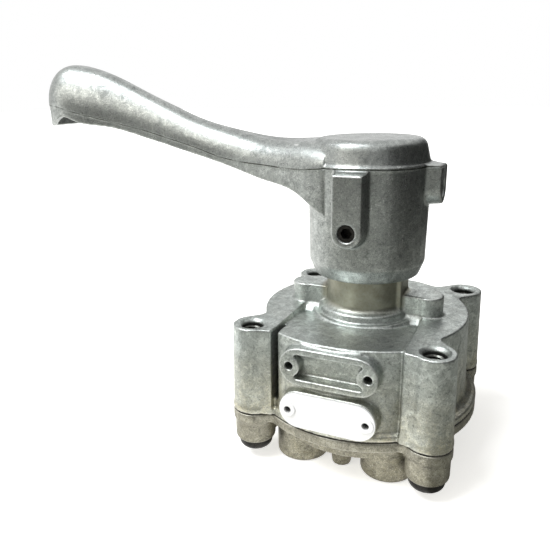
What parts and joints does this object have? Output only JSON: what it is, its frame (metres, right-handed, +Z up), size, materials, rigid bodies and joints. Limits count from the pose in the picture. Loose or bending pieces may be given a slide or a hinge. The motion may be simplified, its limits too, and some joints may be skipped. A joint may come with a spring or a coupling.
{
  "type": "hand lever raise lower valve",
  "caption": "Die-cast rotary slide valve with corner columns, ports underneath and a long hand lever on a capped shaft that turns and presses down.",
  "frame": {"origin": "centre of the four mounting holes, on the flat tops of the corner columns", "axes": "+Z up along the lever shaft, +X to the right along the front face with the lever pointing to -X, +Y away from the front pads"},
  "size_m": [0.2109, 0.1004, 0.1656],
  "materials": {
    "cast_alloy": "shot-blasted die casting",
    "gasket_paper": "pressed fibre",
    "black_steel": "black oxide",
    "plate_aluminium": "bright sheet",
    "bearing_bronze": "turned",
    "seal_rubber": "moulded",
    "spring_steel": "drawn",
    "ground_steel": "ground",
    "slide_plastic": "lapped",
    "sintered_bronze": "sintered"
  },
  "bodies": {
    "housing": {"upper_housing": "cast_alloy", "base_cover": "cast_alloy", "cover_gasket": "gasket_paper", "cover_screws": "black_steel", "name_plate": "plate_aluminium", "plate_rivets": "plate_aluminium", "neck_bush": "bearing_bronze", "shaft_wiper": "seal_rubber", "thrust_washer": "bearing_bronze", "detent_leaf": "spring_steel", "port_plate": "ground_steel", "plate_dowels": "ground_steel", "port_seals": "seal_rubber", "silencer_disc": "sintered_bronze", "silencer_ring": "spring_steel"},
    "rotor": {"drive_hub": "ground_steel", "index_plate": "ground_steel", "valve_slide": "slide_plastic", "pressure_spring": "spring_steel", "return_spring": "spring_steel"},
    "handle": {"lever": "cast_alloy", "control_shaft": "ground_steel", "set_screw_front": "black_steel", "set_screw_side": "black_steel"}
  },
  "joints": [
    {"name": "lever_turn", "type": "hinge", "parent": "housing", "child": "rotor", "pos_m": [0, 0, 0], "axis": [0, 0, 1], "range_deg": [-90, 90], "deforming": ["detent_leaf"]},
    {"name": "lever_press", "type": "slide", "parent": "rotor", "child": "handle", "axis": [0, 0, -1], "range_m": [0, 0.004], "stiffness_N_per_m": 3000, "springref_m": -0.004, "deforming": ["return_spring"]}
  ]
}
